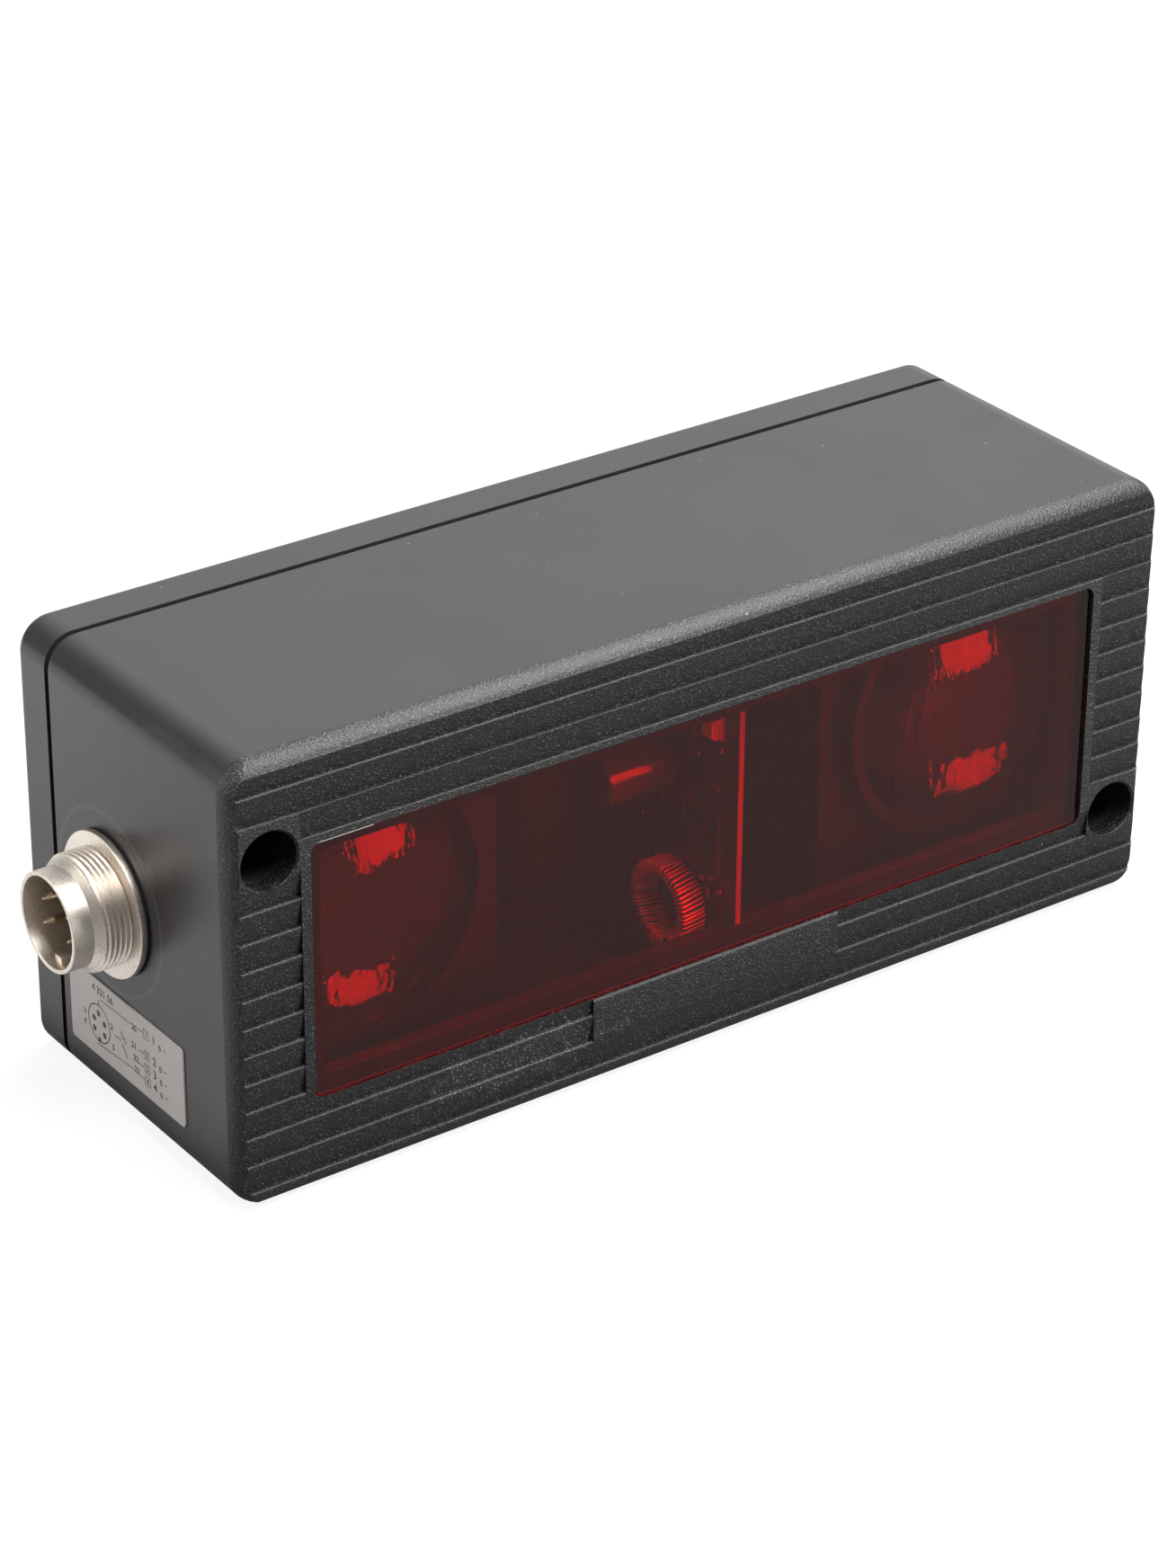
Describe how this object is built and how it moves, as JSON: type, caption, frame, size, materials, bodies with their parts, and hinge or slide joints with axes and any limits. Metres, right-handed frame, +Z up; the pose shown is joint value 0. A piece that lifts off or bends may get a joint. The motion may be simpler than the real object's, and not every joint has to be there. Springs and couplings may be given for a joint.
{
  "type": "diffuse photoelectric sensor",
  "caption": "Flat box-shaped light sensor with a slatted front frame, a dark red filter window and a threaded round connector on its left end.",
  "frame": {"origin": "bottom face, below the middle of the body without its connector", "axes": "+X along the length, away from the connector; the window faces -Y; +Z up"},
  "size_m": [0.1592, 0.0516, 0.0636],
  "materials": {
    "body_plastic": "satin",
    "grained_plastic": "fine grain",
    "red_filter": "clear, dark red",
    "seal_rubber": "matt",
    "plain_steel": "plain",
    "nickel": "dull nickel",
    "insulator": "matt",
    "gold": "plated",
    "wire_sleeve": "satin",
    "header_plastic": "satin",
    "label_grey": "satin film",
    "lens_clear": "polished",
    "barrel_plastic": "matt",
    "diode_body": "gloss",
    "board_laminate": "satin lacquer",
    "ferrite": "matt",
    "copper": "lacquered wire",
    "capacitor_sleeve": "gloss",
    "chip_plastic": "matt"
  },
  "bodies": {
    "root": {"housing": "body_plastic", "front_bezel": "grained_plastic", "filter_window": "red_filter", "window_seal": "seal_rubber", "rear_cover": "body_plastic", "rear_seal": "seal_rubber", "cover_screws": "plain_steel", "connector_shell": "nickel", "connector_gasket": "seal_rubber", "connector_nut": "nickel", "connector_insert": "insulator", "connector_pins": "gold", "connector_wires": "wire_sleeve", "wire_header": "header_plastic", "wiring_label": "label_grey", "emitter_lens": "lens_clear", "receiver_lens": "lens_clear", "emitter_barrel": "barrel_plastic", "receiver_barrel": "barrel_plastic", "barrel_screws": "plain_steel", "emitter_diode": "diode_body", "receiver_diode": "diode_body", "emitter_board": "board_laminate", "receiver_board": "board_laminate", "main_board": "board_laminate", "toroid_core": "ferrite", "toroid_winding": "copper", "capacitor": "capacitor_sleeve", "capacitor_leads": "plain_steel", "driver_module": "chip_plastic", "driver_leads": "plain_steel", "crystal_can": "plain_steel", "logic_chip": "chip_plastic", "output_relay": "chip_plastic"}
  },
  "joints": []
}
